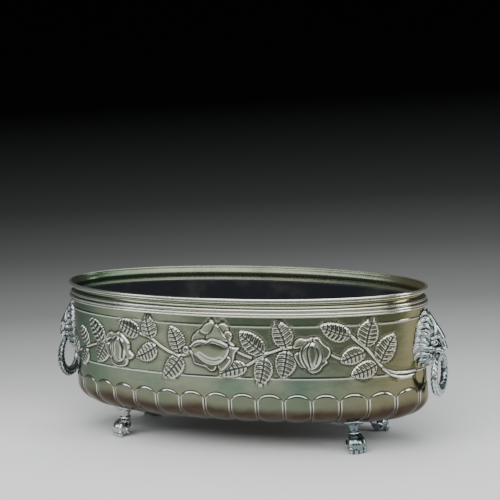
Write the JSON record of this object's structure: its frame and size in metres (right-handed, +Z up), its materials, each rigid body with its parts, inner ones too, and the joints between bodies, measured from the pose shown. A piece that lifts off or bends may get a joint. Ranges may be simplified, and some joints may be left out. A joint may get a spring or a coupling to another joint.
{
  "type": "planter pot",
  "caption": "Oval brass planter with a gadrooned, embossed wall, a rolled rim, lion mask handles with hanging rings, paw feet and a lift-out liner",
  "frame": {"origin": "on the floor under the middle of the oval, at the soles of the paw feet", "axes": "+X along the oval towards the right lion mask, +Y across it towards the back, +Z up; the front faces -Y"},
  "size_m": [0.494, 0.1864, 0.1843],
  "materials": {
    "sheet_brass": "aged polished sheet brass with dark patina in the chasing",
    "cast_brass": "cast and chased brass, worn bright on the high places",
    "fastener_brass": "dull turned brass",
    "liner_plastic": "matt black moulded plastic"
  },
  "bodies": {
    "planter": {"front_shell": "sheet_brass", "back_shell": "sheet_brass", "base_plate": "sheet_brass", "rim_collar": "sheet_brass", "rim_wire": "fastener_brass", "seam_strap_left": "sheet_brass", "seam_strap_right": "sheet_brass", "lion_mask_left": "cast_brass", "lion_mask_right": "cast_brass", "mask_stud_left": "fastener_brass", "mask_stud_right": "fastener_brass", "mask_washer_left": "fastener_brass", "mask_washer_right": "fastener_brass", "mask_nut_left": "fastener_brass", "mask_nut_right": "fastener_brass", "paw_foot_front_left": "cast_brass", "foot_stud_front_left": "fastener_brass", "foot_washer_front_left": "fastener_brass", "foot_nut_front_left": "fastener_brass", "paw_foot_front_right": "cast_brass", "foot_stud_front_right": "fastener_brass", "foot_washer_front_right": "fastener_brass", "foot_nut_front_right": "fastener_brass", "paw_foot_back_left": "cast_brass", "foot_stud_back_left": "fastener_brass", "foot_washer_back_left": "fastener_brass", "foot_nut_back_left": "fastener_brass", "paw_foot_back_right": "cast_brass", "foot_stud_back_right": "fastener_brass", "foot_washer_back_right": "fastener_brass", "foot_nut_back_right": "fastener_brass"},
    "ring_left": {"ring_handle_left": "cast_brass"},
    "ring_right": {"ring_handle_right": "cast_brass"},
    "liner": {"liner": "liner_plastic"}
  },
  "joints": [
    {"name": "ring_left_swing", "type": "hinge", "parent": "planter", "child": "ring_left", "pos_m": [-0.236, 0, 0.108], "axis": [0, 1, 0], "range_deg": [-12, 110]},
    {"name": "ring_right_swing", "type": "hinge", "parent": "planter", "child": "ring_right", "pos_m": [0.236, 0, 0.108], "axis": [0, -1, 0], "range_deg": [-12, 110]},
    {"name": "liner_lift", "type": "slide", "parent": "planter", "child": "liner", "axis": [0, 0, 1], "range_m": [0, 0.16]}
  ]
}
